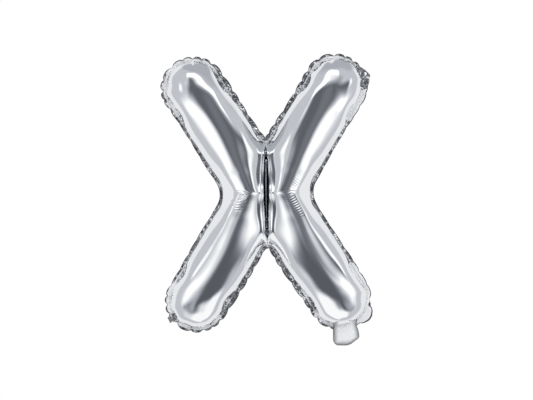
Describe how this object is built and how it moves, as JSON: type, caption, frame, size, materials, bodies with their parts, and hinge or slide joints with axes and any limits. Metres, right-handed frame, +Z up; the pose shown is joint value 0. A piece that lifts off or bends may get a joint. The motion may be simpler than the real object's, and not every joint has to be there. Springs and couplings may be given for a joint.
{
  "type": "foil letter balloon",
  "caption": "Air-filled silver foil balloon in the shape of a letter X, with a sealed edge, a centre weld, a filling neck and hanging tabs.",
  "frame": {"origin": "middle of the centre weld, where the air holds the balloon", "axes": "+Z up along the letter's height, -Y towards the front, +X to the right seen from the front"},
  "size_m": [0.253, 0.0642, 0.3507],
  "materials": {
    "foil": "mirror-bright metallised film, finely wrinkled",
    "seam": "heat-sealed metallised film, puckered",
    "film": "thin clear valve film"
  },
  "bodies": {
    "root": {"front_panel": "foil", "back_panel": "foil", "edge_seam": "seam", "centre_weld": "seam", "neck_front": "foil", "neck_back": "foil", "valve_film": "film", "hanging_tab_upper": "seam", "hanging_tab_lower": "seam"}
  },
  "joints": []
}
